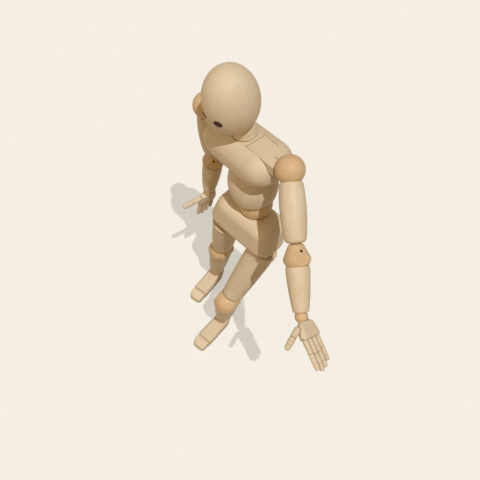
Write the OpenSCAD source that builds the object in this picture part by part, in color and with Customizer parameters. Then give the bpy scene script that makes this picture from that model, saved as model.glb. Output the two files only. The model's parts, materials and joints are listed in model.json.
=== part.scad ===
// Jointed wooden artist's figure, standing on its straight right leg with the left arm out.
// The front of the figure faces -Y, its left side is +X and its soles rest on z = 0.

/* [Pelvis and waist] */
// Distance between the centres of the two hip balls
hip_spacing = 47.4; // [44:0.2:50]
// Diameter of the seat that holds each hip ball in the pelvis block
hip_seat_d = 11.6; // [9:0.2:13]
// Diameter of each hip ball
hip_ball_d = 23; // [21:0.5:24]
// Width of the pelvis block
pelvis_w = 76; // [72:1:80]
// Depth of the pelvis block
pelvis_d = 39; // [37:1:44]
// Width of the pelvis block at its top
pelvis_top_w = 70; // [62:1:76]
// Height of the pelvis block's lower edge above the hip ball centres
pelvis_lift = 3.5; // [3:0.5:6]
// Height of the arch over each thigh in the pelvis block's lower edge
pelvis_arch = 9.5; // [8:0.5:11]
// Distance of each arch's middle outside its hip ball's centre
arch_out = 5; // [3:0.5:6]
// Radius of the pelvis block's rounded edges
pelvis_edge_r = 13; // [10:0.5:14]
// Height of the waist ball's centre above the hip ball centres
waist_rise = 54.6; // [52:0.2:58]
// Diameter of the waist ball
waist_ball_d = 33; // [30:0.5:35]
// Height of the waist ball's centre above the pelvis block's top
waist_seat = 7.5; // [6:0.5:10]

/* [Torso] */
// Diameter of the abdomen at its fullest
abdomen_d = 47; // [44:0.5:50]
// Diameter of the abdomen's top and bottom ends
abdomen_end_d = 41; // [38:0.5:43]
// Height of the abdomen's lower rim above the waist ball's centre
abdomen_rim = 11; // [9:0.5:12]
// Height of the shoulder line above the waist ball's centre
shoulder_rise = 83.8; // [81:0.2:88]
// Distance between the centres of the two shoulder balls
shoulder_spacing = 115.4; // [114:0.2:122]
// Distance that the shoulder line lies in front of the waist
shoulder_forward = 2.3; // [0:0.1:5]
// Width of the chest block
chest_w = 88; // [84:1:91]
// Depth of the chest block
chest_d = 47; // [43:1:50]
// Width of the chest block's lower end
chest_low_w = 78; // [60:1:82]
// Depth of the chest block below the shoulder line
chest_drop = 34; // [30:1:36]
// Height of the chest block above the shoulder line
chest_top = 3.2; // [3:0.1:5]
// Radius of the chest block's rounded edges
chest_edge_r = 17; // [13:0.5:18]
// Diameter of the peg on which the chest turns on the abdomen
waist_peg_d = 12; // [8:0.5:13]
// Length of the peg on which the chest turns on the abdomen
waist_peg_l = 12; // [8:0.5:16]

/* [Shoulder bars] */
// Width of each shoulder bar, front to back
bar_w = 20; // [18:0.2:21]
// Height of each shoulder bar
bar_h = 12; // [10:0.5:13]
// Distance of each bar's pivot from the middle of the chest
bar_pivot_x = 15; // [14:0.5:18]
// Diameter of the pin on which each bar swings
bar_pin_d = 5; // [4:0.5:6]
// Diameter of each shoulder ball
shoulder_ball_d = 25.2; // [23:0.2:26]
// Depth that each shoulder ball sits in the end of its bar
shoulder_seat = 2.6; // [2:0.2:4]
// Diameter of each shoulder ball's stem
shoulder_stem_d = 3.4; // [2.6:0.2:3.6]
// Length of each shoulder ball's stem inside its bar
shoulder_stem_l = 14; // [10:0.5:15]

/* [Head and neck] */
// Width of the egg-shaped head
head_w = 48; // [44:0.2:52]
// Height of the egg-shaped head
head_h = 61.6; // [58:0.2:64]
// Height of the head's middle above the foot of the neck
head_rise = 41.2; // [41:0.1:43]
// Distance of the head's middle in front of the neck's axis
head_forward = 4.4; // [2:0.2:5]
// Diameter of the neck
neck_d = 22; // [20:0.5:23]
// Height of the neck below its dome
neck_h = 6.4; // [5:0.2:6.6]
// Diameter of the peg on which the neck turns
neck_peg_d = 7; // [5:0.5:8]
// Length of the peg on which the neck turns
neck_peg_l = 11; // [8:0.5:14]
// Width of each oval eye
eye_w = 7; // [5:0.2:8]
// Height of each oval eye
eye_h = 6; // [4:0.2:8]
// Distance between the middles of the two eyes
eye_spacing = 17.4; // [14:0.2:22]
// Distance of the eyes below the middle of the head
eye_drop = 7.5; // [4:0.5:10]
// Depth of the eye inlays
eye_depth = 1.2; // [0.8:0.1:2]
// Height by which the eyes stand proud of the head
eye_out = 0.5; // [0.2:0.1:0.8]

/* [Arms] */
// Distance from the shoulder ball's centre to the elbow pin
upper_arm_l = 70; // [64:0.5:76]
// Diameter of the upper arm at its fullest
upper_arm_d = 22; // [20:0.2:22.6]
// Diameter of the upper arm at its two ends
upper_arm_end_d = 19.2; // [18:0.2:20]
// Distance from the elbow pin to the wrist ball's centre
forearm_l = 48; // [44:0.5:54]
// Diameter of the forearm at its middle
forearm_d = 18; // [16:0.2:19]
// Diameter of the forearm's top at the elbow
forearm_top_d = 20; // [18:0.2:20.6]
// Diameter of the forearm's end at the wrist
forearm_end_d = 13.6; // [12:0.2:14]
// Diameter of the elbow knuckle
elbow_d = 23.2; // [22:0.2:25]
// Height at which the elbow knuckle starts to draw in towards the upper arm
elbow_belly = -1.5; // [-3:0.5:0]
// Diameter of the elbow knuckle where it meets the upper arm
elbow_neck_d = 12.6; // [11:0.2:14]
// Width of the elbow knuckle across its flat cheeks
elbow_w = 18; // [16:0.5:19]
// Diameter of the elbow knuckle's stem
elbow_stem_d = 5; // [4:0.5:6]
// Length of the elbow knuckle's stem inside the upper arm
elbow_stem_l = 14; // [10:0.5:18]
// Diameter of the pin across each elbow knuckle
elbow_pin_d = 2.2; // [1.6:0.1:2.6]
// Height of each elbow pin above the middle of its knuckle
elbow_pin_rise = 4.5; // [0:0.5:5]

/* [Hands] */
// Diameter of each wrist ball
wrist_ball_d = 11; // [10:0.2:11.6]
// Distance of the forearm's end from the wrist ball's centre
wrist_gap = 3.4; // [3:0.1:4]
// Distance of the palm's top from the wrist ball's centre
palm_gap = 2.4; // [2:0.1:3.4]
// Distance from the wrist ball's centre to the row of finger hinges
palm_l = 19.4; // [18:0.2:24]
// Thickness of the palm
palm_t = 7.2; // [6.4:0.2:8]
// Width of the palm at the wrist
palm_top_w = 12; // [11:0.2:14]
// Width of the palm where its sides turn to run down to the fingers
palm_mid_w = 18.4; // [17.6:0.2:20]
// Distance of that turn from the wrist ball's centre
palm_mid_down = 8.5; // [8:0.5:10]
// Width of the palm at the fingers
palm_w = 21.6; // [20.8:0.2:23]
// Diameter of each finger
finger_d = 4.7; // [4:0.1:4.7]
// Distance from one finger to the next
finger_pitch = 5; // [5:0.1:5.4]
// Lengths of the lower finger pieces, from the index to the little finger
finger_base_l = [12, 13, 12.5, 10.5];
// Lengths of the finger tip pieces, from the index to the little finger
finger_tip_l = [12.5, 13.5, 12.5, 10.5];
// Diameter of the thumb
thumb_d = 5.6; // [4.6:0.1:5.8]
// Length of the lower thumb piece
thumb_base_l = 9.5; // [8:0.5:12]
// Length of the thumb tip piece
thumb_tip_l = 10; // [8:0.5:12]
// Distance of the thumb's hinge outside the palm's edge
thumb_side = 1.6; // [1:0.1:1.8]
// Distance of the thumb's hinge from the wrist ball's centre, along the palm
thumb_down = 8.5; // [8:0.5:10]

/* [Legs] */
// Distance from the hip ball's centre to the knee pin
thigh_l = 92.5; // [86:0.5:98]
// Diameter of the thigh's domed top
thigh_dome_d = 31; // [29:0.5:32]
// Diameter of the thigh below its domed top
thigh_d = 29.6; // [27:0.2:30]
// Diameter of the thigh at its middle
thigh_mid_d = 27.2; // [25:0.2:28]
// Height of the thigh's rim above the hip ball's centre
thigh_rim = 2; // [1:0.2:3]
// Diameter of the thigh's end at the knee
thigh_end_d = 23; // [21:0.5:25]
// Distance from the knee pin to the ankle ball's centre
shin_l = 87.6; // [82:0.2:94]
// Diameter of the shin's top at the knee
shin_top_d = 24.6; // [22:0.2:26]
// Diameter of the shin at its middle
shin_d = 21.8; // [20:0.2:23]
// Diameter of the shin's end at the ankle
shin_end_d = 16; // [15:0.2:18]
// Diameter of the knee knuckle
knee_d = 29.2; // [28:0.2:31]
// Width of the knee knuckle across its flat cheeks
knee_w = 23; // [20:0.5:25]
// Diameter of the knee knuckle's stem
knee_stem_d = 7; // [5:0.5:9]
// Length of the knee knuckle's stem inside the thigh
knee_stem_l = 16; // [12:0.5:20]
// Diameter of the pin across each knee knuckle
knee_pin_d = 2.8; // [2:0.1:4]

/* [Feet] */
// Height of the ankle ball's centre above the floor
ankle_h = 20; // [18:0.5:23]
// Diameter of each ankle ball
ankle_ball_d = 15; // [14:0.2:16]
// Distance of the shin's end and the foot's top from the ankle ball's centre
ankle_gap = 4.6; // [4:0.2:5.4]
// Reach of the heel behind the ankle
heel_reach = 13; // [11:0.5:16]
// Width of the heel
heel_w = 16.5; // [15:0.5:20]
// Width of the foot at the toe seam
foot_w = 18; // [16:0.5:22]
// Distance of the toe hinge in front of the ankle
toe_hinge_y = 35; // [31:0.5:39]
// Size of the bevel along the feet's upper edges
foot_bevel = 1.6; // [1:0.1:2]
// Height of the toe piece at its hinge
toe_h = 11; // [10:0.5:12]
// Length of the toe piece in front of its hinge
toe_l = 9; // [8:0.5:12]

/* [Pose] */
// Turn of the torso on the waist, positive to the figure's left
torso_turn = -10; // [-12:0.5:0]
// Forward lean of the torso
torso_lean = 8.5; // [0:0.5:10]
// Sideways lean of the torso, positive to the figure's left
torso_side = -14.5; // [-16:0.5:0]
// Forward tilt of the neck
neck_tilt = 8; // [4:0.5:12]
// Backward lean of the head on its neck
head_lean = 8; // [4:0.5:12]
// Turn of the head, positive to the figure's left
head_turn = 2; // [-15:1:15]
// Forward swing of the left and right upper arms
arm_swing = [34, -1.5];
// Outward swing of the left and right upper arms
arm_spread = [37, 5];
// Turn of the left and right elbows about the upper arms, positive to the figure's left
elbow_turn = [-23, -35];
// Bend of the left and right elbows
elbow_bend = [0, 11.5];
// Backward bend of the left and right hands at the wrist
wrist_back = [7, 5];
// Outward bend of the left and right hands at the wrist
wrist_out = [20, 9];
// Forward swing of the left and right thighs
thigh_swing = [14.4, -14.6];
// Outward swing of the left and right thighs
thigh_spread = [-5, 7.3];
// Turn of the left knee about its thigh, positive to the figure's left
knee_turn = 6; // [-5:1:10]
// Outward turn of the left and right feet
foot_turn = [3.5, -7.4];
// Angle between the thumb and the fingers
thumb_angle = [57, 69];
// Angle of the left and right thumbs towards the inside of the hand
thumb_in = [15, -10];

/* [Fits] */
// Gap between each ball and the cups around it
cup_gap = 0.3; // [0.2:0.05:0.4]
// Radial clearance of each peg in its hole
peg_gap = 0.05; // [0.02:0.01:0.1]
// Clear length left at the end of each peg's hole
peg_end_gap = 0.5; // [0.3:0.1:1]

/* [Hidden] */
$fn = 48;
HULL_FN = 32;
SIDES = ["left", "right"];
FINGERS = ["index", "middle", "ring", "little"];
BODY_NODES = ["head", "eyes", "neck", "chest_front", "chest_back", "abdomen", "waist_ball", "pelvis"];
LIMB_NODES = ["clavicle", "shoulder_ball", "upper_arm", "elbow_knuckle", "elbow_pin", "forearm",
  "wrist_ball", "palm", "hip_ball", "thigh", "knee_knuckle", "knee_pin", "shin", "ankle_ball",
  "foot", "toe"];
DIGITS = concat(FINGERS, ["thumb"]);

// Middle of the standing figure's outline on the floor, seen from the pelvis axis
box_mid = [30.65, -27.07];

// Colours of the pale turned wood, the warmer joint wood and the dark pins and eyes
maple = [0.87, 0.79, 0.67];
joint_wood = [0.83, 0.70, 0.52];
dark = [0.18, 0.10, 0.08];

// Sizes of the joints, taken from the ball at the middle of each one
waist_cup_r = waist_ball_d / 2 + cup_gap;
hip_cup_r = hip_ball_d / 2 + cup_gap;
shoulder_cup_r = shoulder_ball_d / 2 + cup_gap;
elbow_neck_z = sqrt(pow(elbow_d / 2, 2) - pow(elbow_neck_d / 2, 2));
elbow_pin_l = lookup(elbow_pin_rise, [[elbow_belly, elbow_d], [elbow_neck_z, elbow_neck_d]]);
elbow_cup_r = elbow_d / 2 + cup_gap;
wrist_cup_r = wrist_ball_d / 2 + cup_gap;
knee_cup_r = knee_d / 2 + cup_gap;
ankle_cup_r = ankle_ball_d / 2 + cup_gap;
neck_cup_r = neck_d / 2 + cup_gap;
finger_r = finger_d / 2;
thumb_r = thumb_d / 2;

// Share of a knuckle's radius at which the piece above it stops
knuckle_top = 0.92;
// Share of a knuckle's radius at which the piece below it starts
knuckle_low = 0.55;
// Height of a digit's end above the next hinge, as a share of its radius
digit_stop = 0.6;
// Radius of the small roundings on turned ends
turned_edge = 3;
small_edge = 1.5;
end_edge = 4;
abdomen_edge = 6;
// Share of the shoulder cup's radius at which the upper arm starts
arm_start = 0.72;
// Difference of the upper arm's radius at its ends from their mean
arm_taper = 0.4;
// Depth to which pins and seats are set into the block that carries them
set_in = 1;
// Setback of the pelvis block's rear face
pelvis_back = 1;
// Taper and end rounding of a digit's lower piece
digit_taper = 0.1;
digit_edge = 0.4;
// End radius and end rounding of a digit's tip, as shares of its radius
tip_end = 0.9;
tip_round = 0.8;
// Place of the line round a digit's tip along its length, and its size and offset against the radius
line_at = 0.52;
line_size = 0.4;
line_out = 0.55;
// Corner radius of the foot's front, as a share of the foot's width
front_round = 0.3;
// Height of the toe's tip against its hinge, and how much narrower the toe is than the foot
toe_tip_h = 0.75;
toe_inset = 2;
// Share of the toe's hinge radius by which the foot's sides lap over it
toe_lap = 0.5;

// Height of the hips over the straight right leg
leg_l = thigh_l + shin_l;
hip_z = ankle_h + leg_l * cos(thigh_swing[1]) * cos(thigh_spread[1]);
waist_z = hip_z + waist_rise;

// Bend of the left knee that puts the left ankle at the same height as the right one
left_drop = (hip_z - ankle_h - thigh_l * cos(thigh_swing[0]) * cos(thigh_spread[0])) / shin_l;
left_back = sin(thigh_swing[0]) * cos(knee_turn)
  + cos(thigh_swing[0]) * sin(thigh_spread[0]) * sin(knee_turn);
left_down = cos(thigh_spread[0]) * cos(thigh_swing[0]);
left_knee = atan2(left_back, left_down) + acos(left_drop / norm([left_back, left_down]));
knee_bend = [left_knee, 0];
knee_turns = [knee_turn, 0];

// The chest's groove for the shoulder bars, whose front wall is where the chest's two halves meet
bar_back_y = 10;
bar_mid_z = chest_top - cup_gap - bar_h / 2;
groove_back_y = bar_back_y + cup_gap;
groove_front_y = bar_back_y - bar_w - cup_gap;
groove_mid_y = (groove_front_y + groove_back_y) / 2;
groove_w = groove_back_y - groove_front_y;
groove_floor_z = bar_mid_z - bar_h / 2 - cup_gap;
bar_end_x = shoulder_spacing / 2 - shoulder_ball_d / 2 + shoulder_seat;

// Heights in the torso, above the waist ball's centre
abdomen_top = shoulder_rise - chest_drop - cup_gap;

// Large enough to cut away any part of the figure
reach = 200;

// Turns about the three axes, as matrices
function turn_x(a) = [[1, 0, 0], [0, cos(a), -sin(a)], [0, sin(a), cos(a)]];
function turn_y(a) = [[cos(a), 0, sin(a)], [0, 1, 0], [-sin(a), 0, cos(a)]];
function turn_z(a) = [[cos(a), -sin(a), 0], [sin(a), cos(a), 0], [0, 0, 1]];

// Sign of a side: 1 for the figure's left, -1 for its right
function sign_of(i) = 1 - 2 * i;

// Ankle position of one leg, from its hip, thigh and shin
function ankle(i) = let(
    s = sign_of(i),
    thigh_turn = turn_x(-thigh_swing[i]) * turn_y(-s * thigh_spread[i]),
    shin_turn = thigh_turn * turn_z(knee_turns[i]) * turn_x(knee_bend[i]))
  [s * hip_spacing / 2, 0, hip_z] + thigh_turn * [0, 0, -thigh_l] + shin_turn * [0, 0, -shin_l];

// Radius along a side that runs smoothly through three radii, for t from 0 to 1
function side_r(r0, r1, r2, t) =
  r0 * (1 - t) * (1 - 2 * t) + 4 * r1 * t * (1 - t) + r2 * t * (2 * t - 1);

// Points of a quarter-round corner
function corner(x, z, r, a0, a1, steps = 5) =
  [for (i = [0:steps]) let(a = a0 + (a1 - a0) * i / steps) [x + r * cos(a), z + r * sin(a)]];

// Outline of an egg of the given half width and half height, right side only
function egg(rx, rz, steps = 28) =
  [for (i = [0:steps]) let(a = -90 + 180 * i / steps) [rx * cos(a), rz * sin(a)]];

// Oval of the given width and height
function oval(w, h, steps = 28) =
  [for (i = [0:steps - 1]) let(a = 360 * i / steps) [w / 2 * cos(a), h / 2 * sin(a)]];

// Turned solid from z0 down to z1, with its end and middle radii and its rounded ends
module turned(z0, z1, r0, r1, r2, edge0, edge1, steps = 10) {
  side_top = z0 - edge0;
  side_low = z1 + edge1;
  side = [for (i = [1:steps - 1]) let(t = i / steps)
    [side_r(r0, r1, r2, t), side_top + (side_low - side_top) * t]];
  rotate_extrude() polygon(concat(
    [[0, z0]],
    corner(r0 - edge0, side_top, edge0, 90, 0),
    side,
    corner(r2 - edge1, side_low, edge1, 0, -90),
    [[0, z1]]));
}

// Block with rounded edges between two levels, each with its own half width and depth
module rounded_block(low, high, edge_r, front_y, back_y) {
  hull()
    for (level = [low, high], x = [-1, 1], y = [front_y + edge_r, back_y - edge_r])
      translate([x * (level[0] - edge_r), y, level[1]]) sphere(r = edge_r, $fn = HULL_FN);
}

// Peg along +Z from the origin
module peg(d, l) cylinder(d = d, h = l);

// Hole for a peg along +Z from the origin, with its running clearance
module peg_hole(d, l) cylinder(d = d + 2 * peg_gap, h = l + peg_end_gap);

// Frames of the body, one inside another
module on_floor() translate([-box_mid[0], -box_mid[1], 0]) children();
module at_waist() on_floor() translate([0, 0, waist_z]) children();
module in_torso() at_waist() rotate([0, 0, torso_turn]) rotate([torso_lean, 0, 0])
  rotate([0, torso_side, 0]) children();
module in_chest() in_torso() translate([0, -shoulder_forward, shoulder_rise]) children();
module in_neck() in_chest() translate([0, 0, chest_top + cup_gap]) rotate([neck_tilt, 0, 0])
  rotate([0, 0, head_turn]) children();
module in_head() in_neck() translate([0, -head_forward, head_rise])
  rotate([-head_lean, 0, 0]) children();
module at_shoulder(i) in_chest() translate([sign_of(i) * shoulder_spacing / 2, 0, 0]) children();
module in_upper_arm(i) at_shoulder(i) rotate([-arm_swing[i], 0, 0])
  rotate([0, -sign_of(i) * arm_spread[i], 0]) children();
module at_elbow(i) in_upper_arm(i) translate([0, 0, -upper_arm_l])
  rotate([0, 0, elbow_turn[i]]) children();
module in_forearm(i) at_elbow(i) rotate([-elbow_bend[i], 0, 0]) children();
module at_wrist(i) in_forearm(i) translate([0, 0, -forearm_l]) children();
module in_hand(i) at_wrist(i) rotate([0, 0, -elbow_turn[i]]) rotate([wrist_back[i], 0, 0])
  rotate([0, -sign_of(i) * wrist_out[i], 0]) children();
module at_hip(i) on_floor() translate([sign_of(i) * hip_spacing / 2, 0, hip_z]) children();
module in_thigh(i) at_hip(i) rotate([-thigh_swing[i], 0, 0])
  rotate([0, -sign_of(i) * thigh_spread[i], 0]) children();
module at_knee(i) in_thigh(i) translate([0, 0, -thigh_l]) rotate([0, 0, knee_turns[i]]) children();
module in_shin(i) at_knee(i) rotate([knee_bend[i], 0, 0]) children();
module at_ankle(i) on_floor() translate(ankle(i)) children();
module in_foot(i) at_ankle(i) translate([0, 0, -ankle_h])
  rotate([0, 0, sign_of(i) * foot_turn[i]]) children();

// Frames of the digits: fingers hang from the palm's end, the thumb points forward from its edge
function finger_y(f) = (f - (len(FINGERS) - 1) / 2) * finger_pitch;
function palm_half_w(down) =
  lookup(down, [[palm_gap + palm_t / 2, palm_top_w], [palm_mid_down, palm_mid_w], [palm_l, palm_w]]) / 2;
function thumb_y() = -thumb_side - palm_half_w(thumb_down);
module at_finger(i, f) in_hand(i) translate([0, finger_y(f), -palm_l]) children();
module at_thumb(i) in_hand(i) translate([0, thumb_y(), -thumb_down])
  rotate([0, 0, -sign_of(i) * thumb_in[i]]) rotate([-thumb_angle[i], 0, 0]) children();

// Egg of the head, without its pockets
module head_egg(inset = 0) rotate_extrude() polygon(egg(head_w / 2 - inset, head_h / 2 - inset));

// Ovals that pass through the front of the head at the eyes
module eye_bars() {
  for (x = [-1, 1])
    translate([x * eye_spacing / 2, 0, -eye_drop]) rotate([90, 0, 0])
      linear_extrude(head_w) polygon(oval(eye_w, eye_h));
}

module head() {
  color(maple) difference() {
    in_head() difference() {
      head_egg();
      difference() {
        eye_bars();
        head_egg(eye_depth);
      }
    }
    in_neck() translate([0, 0, neck_h]) sphere(r = neck_cup_r);
  }
}

// The two oval eyes, let into the head and a little proud of it
module eyes() {
  color(dark) in_head() difference() {
    intersection() {
      head_egg(-eye_out);
      eye_bars();
    }
    head_egg(eye_depth);
  }
}

// Domed neck on a peg that turns in the chest
module neck() {
  color(maple) in_neck() {
    intersection() {
      translate([0, 0, neck_h]) sphere(d = neck_d);
      translate([-reach / 2, -reach / 2, neck_h]) cube(reach);
    }
    cylinder(d = neck_d, h = neck_h);
    translate([0, 0, -neck_peg_l]) peg(neck_peg_d, neck_peg_l + neck_h);
  }
}

// Flat seat in the chest for the tilted foot of the neck
module neck_seat() in_neck() translate([0, 0, -cup_gap]) cylinder(d = neck_d + 4 * cup_gap, h = neck_h);

// Whole chest block with its groove, before it is split into two halves
module chest_block() {
  half_d = chest_d / 2;
  difference() {
    rounded_block([chest_low_w / 2, chest_edge_r - chest_drop], [chest_w / 2, chest_top - chest_edge_r],
      chest_edge_r, -half_d, half_d);
    for (x = [-1, 1]) translate([x * bar_pivot_x, groove_mid_y, 0]) {
      translate([0, 0, bar_mid_z]) rotate([90, 0, 0])
        cylinder(r = bar_h / 2 + cup_gap, h = groove_w, center = true);
      translate([x * reach / 2, 0, groove_floor_z + reach / 2])
        cube([reach, groove_w, reach], center = true);
    }
  }
}

module chest_front() {
  color(maple) difference() {
    in_chest() intersection() {
      chest_block();
      translate([-reach / 2, groove_front_y - reach, -reach / 2]) cube(reach);
    }
    neck_seat();
  }
}

// Back half of the chest, with the pins of the shoulder bars and the holes for the waist and neck pegs
module chest_back() {
  pin_l = groove_w - cup_gap;
  color(maple) {
    difference() {
      in_chest() intersection() {
        chest_block();
        translate([-reach / 2, groove_front_y, -reach / 2]) cube(reach);
      }
      in_torso() translate([0, 0, abdomen_top]) peg_hole(waist_peg_d, waist_peg_l);
      in_neck() rotate([180, 0, 0]) peg_hole(neck_peg_d, neck_peg_l);
      neck_seat();
    }
    in_chest() for (x = [-1, 1])
      translate([x * bar_pivot_x, groove_back_y + set_in, bar_mid_z]) rotate([90, 0, 0])
        peg(bar_pin_d, pin_l + set_in);
  }
}

// Bar that carries one shoulder ball and swings up on its pin in the chest's groove
module clavicle(i) {
  s = sign_of(i);
  half_h = bar_h / 2;
  end_h = half_h - small_edge;
  bar = [[bar_pivot_x, -half_h], [bar_end_x, -end_h], [bar_end_x, end_h], [bar_pivot_x, half_h]];
  order = s > 0 ? [0, 1, 2, 3] : [3, 2, 1, 0];
  color(maple) in_chest() difference() {
    translate([0, bar_back_y, bar_mid_z]) rotate([90, 0, 0]) linear_extrude(bar_w) {
      translate([s * bar_pivot_x, 0]) circle(r = half_h);
      polygon([for (k = order) [s * bar[k][0], bar[k][1]]]);
    }
    translate([s * bar_pivot_x, 0, bar_mid_z]) rotate([90, 0, 0])
      cylinder(d = bar_pin_d + 2 * peg_gap, h = reach, center = true);
    translate([s * shoulder_spacing / 2, 0, 0]) sphere(r = shoulder_cup_r);
    translate([s * bar_end_x, 0, 0]) rotate([0, -s * 90, 0]) peg_hole(shoulder_stem_d, shoulder_stem_l);
  }
}

// Shoulder ball with the stem on which it turns in the bar's end
module shoulder_ball(i) {
  s = sign_of(i);
  stem_l = shoulder_stem_l + shoulder_spacing / 2 - bar_end_x;
  color(joint_wood) at_shoulder(i) {
    sphere(d = shoulder_ball_d);
    rotate([0, -s * 90, 0]) peg(shoulder_stem_d, stem_l);
  }
}

module upper_arm(i) {
  end_r = upper_arm_end_d / 2;
  top_z = -arm_start * shoulder_cup_r;
  low_z = -upper_arm_l + knuckle_top * elbow_cup_r;
  color(maple) in_upper_arm(i) difference() {
    turned(top_z, low_z, end_r + arm_taper, upper_arm_d / 2, end_r - arm_taper, turned_edge, end_edge);
    sphere(r = shoulder_cup_r);
    translate([0, 0, -upper_arm_l]) {
      sphere(r = elbow_cup_r);
      peg_hole(elbow_stem_d, elbow_cup_r + elbow_stem_l);
    }
  }
}

// Round knuckle with flat cheeks, a stem that turns in the piece above and a cross hole for its pin
module knuckle(d, w, stem_d, stem_l, pin_d, pin_z = 0) {
  difference() {
    union() {
      intersection() {
        sphere(d = d);
        cube([w, reach, reach], center = true);
      }
      peg(stem_d, d / 2 + cup_gap + stem_l);
    }
    translate([0, 0, pin_z]) rotate([0, 90, 0]) cylinder(d = pin_d, h = reach, center = true);
  }
}

// Pin across a knuckle, flush with its cheeks
module cross_pin(d, w) rotate([0, 90, 0]) cylinder(d = d, h = w, center = true);

// Elbow knuckle, drawn in from its belly to the upper arm
module elbow_knuckle(i) color(joint_wood) at_elbow(i) intersection() {
  knuckle(elbow_d, elbow_w, elbow_stem_d, elbow_stem_l, elbow_pin_d, elbow_pin_rise);
  rotate_extrude() polygon([[0, -elbow_d], [elbow_d / 2, -elbow_d], [elbow_d / 2, elbow_belly],
    [elbow_neck_d / 2, elbow_neck_z], [elbow_neck_d / 2, reach], [0, reach]]);
}

module elbow_pin(i) color(dark) at_elbow(i) translate([0, 0, elbow_pin_rise])
  cross_pin(elbow_pin_d, elbow_pin_l);

module forearm(i) {
  top_z = -knuckle_low * elbow_cup_r;
  low_z = wrist_gap - forearm_l;
  color(maple) in_forearm(i) difference() {
    turned(top_z, low_z, forearm_top_d / 2, forearm_d / 2, forearm_end_d / 2, turned_edge, small_edge);
    sphere(r = elbow_cup_r);
    translate([0, 0, -forearm_l]) sphere(r = wrist_cup_r);
  }
}

module wrist_ball(i) color(joint_wood) at_wrist(i) sphere(d = wrist_ball_d);

// Shield-shaped palm with a cup for the wrist, a trough for the fingers and a cup for the thumb
module palm(i) {
  half_t = palm_t / 2;
  trough_r = finger_r + cup_gap;
  ledge_z = -palm_l + digit_stop * finger_r;
  color(maple) in_hand(i) difference() {
    hull() for (y = [-1, 1]) {
      translate([0, y * (palm_top_w / 2 - half_t), -palm_gap - half_t])
        sphere(r = half_t, $fn = HULL_FN);
      translate([0, y * (palm_mid_w / 2 - half_t), -palm_mid_down])
        cylinder(r = half_t, h = half_t, center = true, $fn = HULL_FN);
      translate([0, y * (palm_w / 2 - half_t), ledge_z])
        cylinder(r = half_t, h = half_t, $fn = HULL_FN);
    }
    sphere(r = wrist_cup_r);
    translate([0, 0, -palm_l]) rotate([90, 0, 0]) cylinder(r = trough_r, h = reach, center = true);
    translate([0, thumb_y(), -thumb_down]) sphere(r = thumb_r + cup_gap);
  }
}

// Lower piece of a digit: a round root, and an end cupped for the next piece
module digit_base(r, l) {
  difference() {
    union() {
      sphere(r = r);
      turned(0, -l + digit_stop * r, r, r, r - digit_taper, digit_taper, digit_edge, 2);
    }
    translate([0, 0, -l]) sphere(r = r + cup_gap);
  }
}

// Tip piece of a digit: a round root, a line round it at its last joint and a round end
module digit_tip(r, l) {
  line_r = line_size * r;
  difference() {
    union() {
      sphere(r = r);
      turned(0, -l, r, r, tip_end * r, digit_taper, tip_round * r, 2);
    }
    translate([0, 0, -line_at * l]) rotate_extrude()
      translate([r + line_out * line_r, 0]) circle(r = line_r);
  }
}

module finger_base(i, f) color(maple) at_finger(i, f) digit_base(finger_r, finger_base_l[f]);

module finger_tip(i, f) color(maple) at_finger(i, f) translate([0, 0, -finger_base_l[f]])
  digit_tip(finger_r, finger_tip_l[f]);

module thumb_base(i) color(maple) at_thumb(i) digit_base(thumb_r, thumb_base_l);

module thumb_tip(i) color(maple) at_thumb(i) translate([0, 0, -thumb_base_l])
  digit_tip(thumb_r, thumb_tip_l);

module waist_ball() color(joint_wood) at_waist() sphere(d = waist_ball_d);

// Abdomen that rides on the waist ball, with the peg on which the chest turns
module abdomen() {
  end_r = abdomen_end_d / 2;
  color(maple) in_torso() difference() {
    union() {
      turned(abdomen_top, abdomen_rim, end_r, abdomen_d / 2, end_r, abdomen_edge, small_edge);
      translate([0, 0, abdomen_top - set_in]) peg(waist_peg_d, waist_peg_l + set_in);
    }
    sphere(r = waist_cup_r);
  }
}

// Pelvis block, cupped for the waist ball and hollowed for the thighs, with a seat for each hip ball
module pelvis() {
  half_d = pelvis_d / 2;
  low_z = pelvis_lift + pelvis_edge_r;
  high_z = waist_rise - waist_seat - pelvis_edge_r;
  dome_r = thigh_dome_d / 2 + cup_gap;
  arch_z = pelvis_lift + pelvis_arch - dome_r;
  color(maple) on_floor() translate([0, 0, hip_z]) difference() {
    union() {
      difference() {
        rounded_block([pelvis_w / 2, low_z], [pelvis_top_w / 2, high_z], pelvis_edge_r,
          -half_d, half_d - pelvis_back);
        for (x = [-1, 1]) translate([x * hip_spacing / 2, 0, 0]) {
          sphere(r = dome_r);
          translate([x * arch_out, 0, arch_z]) rotate([90, 0, 0])
            cylinder(r = dome_r, h = reach, center = true);
        }
      }
      for (x = [-1, 1]) translate([x * hip_spacing / 2, 0, 0])
        cylinder(d = hip_seat_d, h = dome_r + set_in);
    }
    for (x = [-1, 1]) translate([x * hip_spacing / 2, 0, 0]) sphere(r = hip_cup_r);
    translate([0, 0, waist_rise]) sphere(r = waist_cup_r);
  }
}

module hip_ball(i) color(joint_wood) at_hip(i) sphere(d = hip_ball_d);

// Thigh with a domed top that laps round the hip ball
module thigh(i) {
  low_z = -thigh_l + knuckle_top * knee_cup_r;
  color(maple) in_thigh(i) difference() {
    union() {
      intersection() {
        sphere(d = thigh_dome_d);
        translate([-reach / 2, -reach / 2, thigh_rim - reach]) cube(reach);
      }
      turned(0, low_z, thigh_d / 2, thigh_mid_d / 2, thigh_end_d / 2, turned_edge, end_edge);
    }
    sphere(r = hip_cup_r);
    translate([0, 0, -thigh_l]) {
      sphere(r = knee_cup_r);
      peg_hole(knee_stem_d, knee_cup_r + knee_stem_l);
    }
  }
}

module knee_knuckle(i) color(joint_wood) at_knee(i)
  knuckle(knee_d, knee_w, knee_stem_d, knee_stem_l, knee_pin_d);

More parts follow.
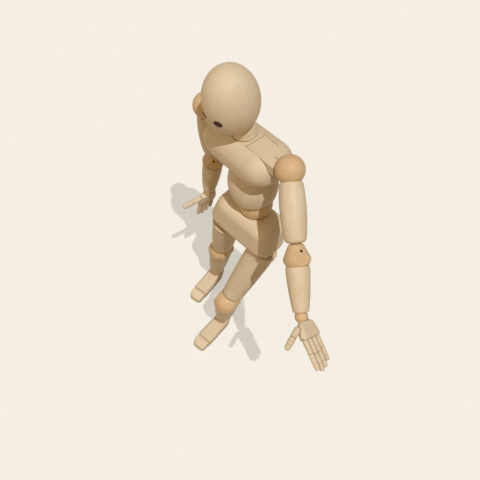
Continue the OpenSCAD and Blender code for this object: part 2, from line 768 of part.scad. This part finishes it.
module knee_pin(i) color(dark) at_knee(i) cross_pin(knee_pin_d, knee_w);

module shin(i) {
  top_z = -knuckle_low * knee_cup_r;
  low_z = ankle_gap - shin_l;
  color(maple) in_shin(i) difference() {
    turned(top_z, low_z, shin_top_d / 2, shin_d / 2, shin_end_d / 2, turned_edge, small_edge);
    sphere(r = knee_cup_r);
    translate([0, 0, -shin_l]) sphere(r = ankle_cup_r);
  }
}

module ankle_ball(i) color(joint_wood) at_ankle(i) sphere(d = ankle_ball_d);

// Upright disc with a bevelled top edge, a corner of the foot's outline
module foot_disc(x, y, r, h) {
  translate([x, y, 0]) {
    cylinder(r = r, h = h - foot_bevel, $fn = HULL_FN);
    cylinder(r = r - foot_bevel, h = h, $fn = HULL_FN);
  }
}

// Flat-sided foot with a dish for the ankle ball and a hollow front end for the toe piece
module foot(i) {
  top_h = ankle_h - ankle_gap;
  hinge_r = toe_h / 2;
  front_r = front_round * foot_w;
  color(maple) in_foot(i) difference() {
    hull() {
      foot_disc(0, heel_reach - heel_w / 2, heel_w / 2, top_h);
      for (x = [-1, 1]) foot_disc(x * (foot_w / 2 - front_r), -toe_hinge_y, front_r, toe_h);
    }
    translate([0, -toe_hinge_y, hinge_r]) rotate([0, 90, 0])
      cylinder(r = hinge_r + cup_gap, h = reach, center = true);
    translate([0, toe_lap * hinge_r - toe_hinge_y - reach / 2, 0]) cube(reach, center = true);
    translate([0, 0, ankle_h]) sphere(r = ankle_cup_r);
  }
}

// Toe piece with a round back edge that rolls in the foot's front end
module toe(i) {
  hinge_r = toe_h / 2;
  width = foot_w - toe_inset;
  tip_r = toe_l / 2;
  color(maple) in_foot(i) translate([0, -toe_hinge_y, 0]) {
    translate([0, 0, hinge_r]) rotate([0, 90, 0]) cylinder(r = hinge_r, h = width, center = true);
    hull() {
      translate([-width / 2, -set_in, 0]) cube([width, set_in, toe_h]);
      for (x = [-1, 1]) foot_disc(x * (width / 2 - tip_r), tip_r - toe_l, tip_r, toe_tip_h * toe_h);
    }
  }
}

head();
eyes();
neck();
chest_front();
chest_back();
abdomen();
waist_ball();
pelvis();
for (i = [0:1]) {
  side = SIDES[i];
  clavicle(i);
  shoulder_ball(i);
  upper_arm(i);
  elbow_knuckle(i);
  elbow_pin(i);
  forearm(i);
  wrist_ball(i);
  palm(i);
  hip_ball(i);
  thigh(i);
  knee_knuckle(i);
  knee_pin(i);
  shin(i);
  ankle_ball(i);
  foot(i);
  toe(i);
  for (f = [0:len(FINGERS) - 1]) {
    finger_base(i, f);
    finger_tip(i, f);
  }
  thumb_base(i);
  thumb_tip(i);
}
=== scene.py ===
"""Looks of the jointed wooden artist's figure: turned pale wood, warmer joint wood, dark pins and eyes."""
import json
import math

import bpy
from mathutils import Matrix, Quaternion, Vector

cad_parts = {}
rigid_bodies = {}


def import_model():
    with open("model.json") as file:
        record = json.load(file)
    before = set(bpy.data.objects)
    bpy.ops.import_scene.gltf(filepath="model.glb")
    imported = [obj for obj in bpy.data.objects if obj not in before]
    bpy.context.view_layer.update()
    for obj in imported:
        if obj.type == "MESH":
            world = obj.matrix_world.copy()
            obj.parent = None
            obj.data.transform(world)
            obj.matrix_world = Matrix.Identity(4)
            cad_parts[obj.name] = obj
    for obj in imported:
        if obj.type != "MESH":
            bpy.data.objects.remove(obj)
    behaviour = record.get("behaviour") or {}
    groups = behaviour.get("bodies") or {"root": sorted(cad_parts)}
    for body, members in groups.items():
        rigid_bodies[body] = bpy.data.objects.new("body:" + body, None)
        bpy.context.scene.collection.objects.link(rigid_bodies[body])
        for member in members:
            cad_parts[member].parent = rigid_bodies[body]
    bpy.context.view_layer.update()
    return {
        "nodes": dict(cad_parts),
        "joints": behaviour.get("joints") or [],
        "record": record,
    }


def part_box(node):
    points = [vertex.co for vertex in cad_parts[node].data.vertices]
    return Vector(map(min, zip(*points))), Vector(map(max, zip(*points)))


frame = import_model()
scene = bpy.context.scene
scene.view_settings.view_transform = "Standard"


def linear(rgb):
    """Linear colour of an sRGB triple given from 0 to 255."""
    out = []
    for v in rgb:
        v /= 255
        out.append(v / 12.92 if v <= 0.04045 else ((v + 0.055) / 1.055) ** 2.4)
    return (*out, 1.0)


# Wood colours: the ground and the grain of the pale pieces and of the warmer balls and knuckles
PALE, PALE_GRAIN = linear((228, 208, 176)), linear((200, 170, 128))
WARM, WARM_GRAIN = linear((222, 190, 145)), linear((192, 146, 97))
# How strongly the growth rings show, and the least roughness
PALE_RINGS, PALE_ROUGH = 0.1, 0.46
WARM_RINGS, WARM_ROUGH = 0.14, 0.42
# Noise layers of the wood: share of their frequency along the grain, then scale, detail and roughness
RING_NOISE = (0.05, 170.0, 2.0, 0.4)
FIBRE_NOISE = (0.035, 1300.0, 3.0, 0.6)
FLECK_NOISE = (0.08, 2600.0, 1.0, 0.5)
CLOUD_NOISE = (1.0, 45.0, 2.0, 0.5)
# Where a layer starts to show and where it shows in full, and how strongly it colours the wood
RING_EDGES, RING_COUNT = (0.55, 1.0), 9.0
FIBRE_EDGES, FIBRE_SHADE = (0.35, 0.68), 0.2
CLOUD_EDGES, CLOUD_SHADE = (0.35, 0.7), 0.14
FLECK_EDGES, FLECK_SHADE, PORE_SHARE = (0.66, 0.8), 0.16, 0.6
# Painted shade in the seams: where it starts and where it is full, how strongly it colours the wood, and the dark
# brown that it paints
SEAM_SHADE_EDGES, SEAM_SHADE_SHARE, SEAM_SHADE_COLOUR = (0.15, 0.75), 0.45, linear((122, 84, 50))
# What fibres and the painted seam shade add to the roughness, and what fibres and rings add to the relief
FIBRE_ROUGH, SEAM_SHADE_ROUGH = 0.16, 0.2
FIBRE_RELIEF, RING_RELIEF = 0.6, 0.15
WOOD_BUMP, WOOD_SPECULAR = 0.18, 0.3
# Reach of the painted shade in the seams, radius of the softened edges and depth of the relief, in metres
SEAM_REACH, EDGE_R, RELIEF_DEPTH = 0.0025, 0.0006, 0.0001
# Rays for the seams and for the edges
SEAM_RAYS, EDGE_RAYS = 6, 6
# Turn in degrees and shift in metres of the pattern from one piece to the next, so that no two look alike
PATTERN_TURN = 47
SHIFT_STEP, SHIFT_CYCLE, SHIFT_START = (0.031, 0.023, 0.07), (7, 5, 11), (0.09, 0.11, 0.0)
# A piece whose middle is this near its joint has the grain of the limb that it hangs from
ON_JOINT = 0.004
# Edges sharper than this, in degrees, stay sharp in the shading
SHARP_ANGLE = 32

# Dark pieces: colour, worn colour, roughness and metal
EYE = (linear((62, 31, 20)), linear((78, 42, 28)), 0.55, 0.0)
PIN = (linear((34, 24, 20)), linear((70, 52, 40)), 0.35, 0.6)
# Scale and detail of their wear and of their fine relief, where the wear shows, and how much the relief does
WEAR_NOISE, FINE_NOISE, WEAR_EDGES = (420.0, 4.0), (2600.0, 2.0), (0.4, 0.75)
FINE_ROUGH, DARK_BUMP, DARK_SPECULAR = 0.2, 0.2, 0.2

# Floor and surround: paper to the eye, made of a lit tan and a glow, and a warmer tan to the light that it passes on
PAPER = linear((246, 241, 231))
TAN, LIFT, BOUNCE = (0.474, 0.428, 0.372, 1.0), (0.478, 0.487, 0.466, 1.0), (0.3, 0.22, 0.13, 1.0)
FLOOR_SIZE, FLOOR_DROP = 6, 0.0002

# Light: direction that it comes from, strength, colour and spread in degrees
KEY = ((0.284, -0.323, 0.903), 2.27, (0.86, 0.925, 1.0), 0.4)
FRONT = ((-0.35, -0.88, 0.3), 0.58, (1.0, 0.85, 0.62), 70)
FILL, FILL_COLOUR = 0.29, (1.0, 0.75, 0.46, 1.0)

# Camera where the photograph was taken from, above the figure's left front
CAMERA_AT = (0.14865, -0.33073, 0.7369)
RIGHT = Vector((0.7379, 0.6515, 0.1759))
UP = Vector((-0.6201, 0.5516, 0.5579))
BACK = Vector((0.2665, -0.5208, 0.8111))
LENS, SENSOR = 50.08, 36
CLIP_NEAR, CLIP_FAR = 0.01, 20

# Joint of each body, the body that it hangs from, and the body of each node
COMES_FROM = {j["child"]: Vector(j["pos_m"]) for j in frame["joints"]}
PARENT = {j["child"]: j["parent"] for j in frame["joints"]}
BODY_OF = {n: b for b, ns in frame["record"]["behaviour"]["bodies"].items() for n in ns}


def middle(node):
    """Middle of a node's box."""
    lo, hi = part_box(node)
    return (lo + hi) / 2


def grain_axis(node):
    """Direction of the wood's grain: across the pelvis and the chest, and along every other piece."""
    if node == "pelvis":
        return Vector((1, 0, 0))
    if node in ("chest_front", "chest_back"):
        return (COMES_FROM["left_shoulder_ball"] - COMES_FROM["right_shoulder_ball"]).normalized()
    body = BODY_OF[node]
    start = COMES_FROM.get(body)
    while start is not None and (middle(node) - start).length < ON_JOINT:
        body = PARENT[body]
        start = COMES_FROM.get(body)
    if start is None:
        return Vector((0, 0, 1))
    return (middle(node) - start).normalized()


class Graph:
    """A material's nodes, added one by one and joined by their sockets."""

    def __init__(self, name):
        self.owner = bpy.data.materials.new(name)
        self.clear()

    def clear(self):
        self.owner.use_nodes = True
        self.tree = self.owner.node_tree
        self.tree.nodes.clear()

    def put(self, socket, value):
        """Joins another node's output to the socket, or sets a constant on it."""
        if isinstance(value, bpy.types.NodeSocket):
            self.tree.links.new(value, socket)
        else:
            socket.default_value = value

    def add(self, kind, settings=None, **inputs):
        """Node with its inputs given by name, with _ for a space, or by number as i0, i1 and so on."""
        node = self.tree.nodes.new(kind)
        for key, value in (settings or {}).items():
            setattr(node, key, value)
        for key, value in inputs.items():
            numbered = key[0] == "i" and key[1:].isdigit()
            self.put(node.inputs[int(key[1:]) if numbered else key.replace("_", " ")], value)
        return node

    def math(self, operation, a, b):
        return self.add("ShaderNodeMath", {"operation": operation}, i0=a, i1=b).outputs[0]

    def plus(self, base, layer, share):
        """The base with a share of the layer on top."""
        return self.math("ADD", base, self.math("MULTIPLY", layer, share))

    def ramp(self, factor, edges, to_low=0.0, to_high=1.0):
        """Smooth step from one edge to the other."""
        return self.add("ShaderNodeMapRange", {"interpolation_type": "SMOOTHSTEP"}, Value=factor,
                        From_Min=edges[0], From_Max=edges[1], To_Min=to_low, To_Max=to_high).outputs[0]

    def mix(self, factor, a, b):
        """Colour between two colours. The node's colour sockets are numbers 6 and 7 in, and 2 out."""
        return self.add("ShaderNodeMix", {"data_type": "RGBA"}, i0=factor, i6=a, i7=b).outputs[2]

    def principled(self, specular, metallic=0.0, **inputs):
        shader = self.add("ShaderNodeBsdfPrincipled", Metallic=metallic, Specular_IOR_Level=specular, **inputs)
        self.add("ShaderNodeOutputMaterial", Surface=shader.outputs[0])

    def seen_directly(self):
        """One for the rays that show a surface itself, nought for the light that it passes on."""
        path = self.add("ShaderNodeLightPath").outputs
        mirrored = self.math("MAXIMUM", path["Is Glossy Ray"], path["Is Transmission Ray"])
        return self.math("MAXIMUM", path["Is Camera Ray"], mirrored)


class Surround(Graph):
    """The world's nodes, joined as a material's are."""

    def __init__(self, name):
        self.owner = bpy.data.worlds.new(name)
        self.clear()


def wood(name, axis, number, pale, grain, rings, least_rough):
    """Sanded hardwood: faint growth rings, fibres and short flecks along the grain, and painted shade that darkens
    the seams.
    """
    g = Graph(name)
    turn = axis.rotation_difference(Vector((0, 0, 1)))
    spin = Quaternion((0, 0, 1), math.radians(PATTERN_TURN * number))
    shift = [step * (number % cycle) + start
             for step, cycle, start in zip(SHIFT_STEP, SHIFT_CYCLE, SHIFT_START)]
    coords = g.add("ShaderNodeTexCoord").outputs["Object"]
    along = g.add("ShaderNodeMapping", Vector=coords, Rotation=(spin @ turn).to_euler(),
                  Location=shift).outputs[0]

    def layer(share, scale, detail, roughness):
        drawn_out = g.add("ShaderNodeMapping", Vector=along, Scale=(1, 1, share)).outputs[0]
        return g.add("ShaderNodeTexNoise", Vector=drawn_out, Scale=scale, Detail=detail,
                     Roughness=roughness).outputs["Fac"]

    ring = g.math("PINGPONG", g.math("MULTIPLY", layer(*RING_NOISE), RING_COUNT), 1.0)
    late = g.ramp(ring, RING_EDGES)
    fibre = layer(*FIBRE_NOISE)
    fleck = g.ramp(layer(*FLECK_NOISE), FLECK_EDGES)
    cloud = g.ramp(layer(*CLOUD_NOISE), CLOUD_EDGES)
    # Painted shade: where nearby parts hide the surface, the wood's colour is darkened towards a dark brown and made
    # rougher
    seam = g.add("ShaderNodeAmbientOcclusion", {"samples": SEAM_RAYS}, Distance=SEAM_REACH).outputs["AO"]
    painted_seam_shade = g.ramp(seam, SEAM_SHADE_EDGES, 1.0, 0.0)

    shade = g.math("MULTIPLY", g.ramp(fibre, FIBRE_EDGES), FIBRE_SHADE)
    shade = g.plus(g.plus(shade, late, rings), cloud, CLOUD_SHADE)
    pore = (*(PORE_SHARE * v for v in grain[:3]), 1.0)
    colour = g.mix(shade, pale, grain)
    colour = g.mix(g.math("MULTIPLY", fleck, FLECK_SHADE), colour, pore)
    colour = g.mix(g.math("MULTIPLY", painted_seam_shade, SEAM_SHADE_SHARE), colour, SEAM_SHADE_COLOUR)

    rough = g.plus(g.plus(least_rough, fibre, FIBRE_ROUGH), painted_seam_shade, SEAM_SHADE_ROUGH)
    relief = g.plus(g.math("MULTIPLY", fibre, FIBRE_RELIEF), late, RING_RELIEF)
    soft_edge = g.add("ShaderNodeBevel", {"samples": EDGE_RAYS}, Radius=EDGE_R).outputs[0]
    bump = g.add("ShaderNodeBump", Strength=WOOD_BUMP, Distance=RELIEF_DEPTH, Height=relief,
                 Normal=soft_edge).outputs[0]
    g.principled(WOOD_SPECULAR, Base_Color=colour, Roughness=rough, Normal=bump)
    return g.owner


def dark(name, colour, worn, least_rough, metallic):
    """Dark pins and eyes, with faint wear so that they aren't one flat colour."""
    g = Graph(name)
    coords = g.add("ShaderNodeTexCoord").outputs["Object"]
    wear, fine = (g.add("ShaderNodeTexNoise", Vector=coords, Scale=scale, Detail=detail).outputs["Fac"]
                  for scale, detail in (WEAR_NOISE, FINE_NOISE))
    bump = g.add("ShaderNodeBump", Strength=DARK_BUMP, Distance=RELIEF_DEPTH, Height=fine).outputs[0]
    g.principled(DARK_SPECULAR, metallic, Base_Color=g.mix(g.ramp(wear, WEAR_EDGES), colour, worn),
                 Roughness=g.plus(least_rough, fine, FINE_ROUGH), Normal=bump)
    return g.owner


def lamp(name, toward, energy, colour, spread):
    """Lamp so far off that its light is even, shining from the direction given."""
    light = bpy.data.objects.new(name, bpy.data.lights.new(name, "SUN"))
    light.data.energy, light.data.color, light.data.angle = energy, colour, math.radians(spread)
    light.rotation_mode = "QUATERNION"
    light.rotation_quaternion = Vector(toward).to_track_quat("Z", "Y")
    scene.collection.objects.link(light)


# Each piece has a wood of its own, so that the grain runs along it
for number, (node, obj) in enumerate(sorted(frame["nodes"].items())):
    mesh = obj.data
    mesh.shade_smooth()
    mesh.set_sharp_from_angle(angle=math.radians(SHARP_ANGLE))
    if node == "eyes":
        mat = dark("eye_stain", *EYE)
    elif node.endswith("_pin"):
        mat = dark(node + "_metal", *PIN)
    elif "ball" in node or "knuckle" in node:
        mat = wood(node + "_wood", grain_axis(node), number, WARM, WARM_GRAIN, WARM_RINGS, WARM_ROUGH)
    else:
        mat = wood(node + "_wood", grain_axis(node), number, PALE, PALE_GRAIN, PALE_RINGS, PALE_ROUGH)
    mesh.materials.clear()
    mesh.materials.append(mat)

# Floor
bpy.ops.mesh.primitive_plane_add(size=FLOOR_SIZE, location=(0, 0, -FLOOR_DROP))
floor = bpy.context.object
floor.name = "floor"
g = Graph("floor_paper")
seen = g.seen_directly()
diffuse = g.add("ShaderNodeBsdfDiffuse", Color=g.mix(seen, BOUNCE, TAN)).outputs[0]
glow = g.add("ShaderNodeEmission", Color=LIFT, Strength=seen).outputs[0]
g.add("ShaderNodeOutputMaterial", Surface=g.add("ShaderNodeAddShader", i0=diffuse, i1=glow).outputs[0])
floor.data.materials.append(g.owner)

# Light: a high key, a soft light from the front, and a warm surround that fills the shadows
lamp("key", *KEY)
lamp("front", *FRONT)
g = Surround("studio")
fill = g.add("ShaderNodeBackground", Color=FILL_COLOUR, Strength=FILL).outputs[0]
wall = g.add("ShaderNodeBackground", Color=PAPER, Strength=1.0).outputs[0]
both = g.add("ShaderNodeMixShader", i0=g.seen_directly(), i1=fill, i2=wall).outputs[0]
g.add("ShaderNodeOutputWorld", Surface=both)
scene.world = g.owner

# Camera
camera = bpy.data.objects.new("camera", bpy.data.cameras.new("camera"))
camera.data.sensor_width, camera.data.lens = SENSOR, LENS
camera.data.clip_start, camera.data.clip_end = CLIP_NEAR, CLIP_FAR
camera.rotation_mode = "QUATERNION"
camera.rotation_quaternion = Matrix((RIGHT, UP, BACK)).transposed().to_quaternion()
camera.location = CAMERA_AT
scene.collection.objects.link(camera)
scene.camera = camera
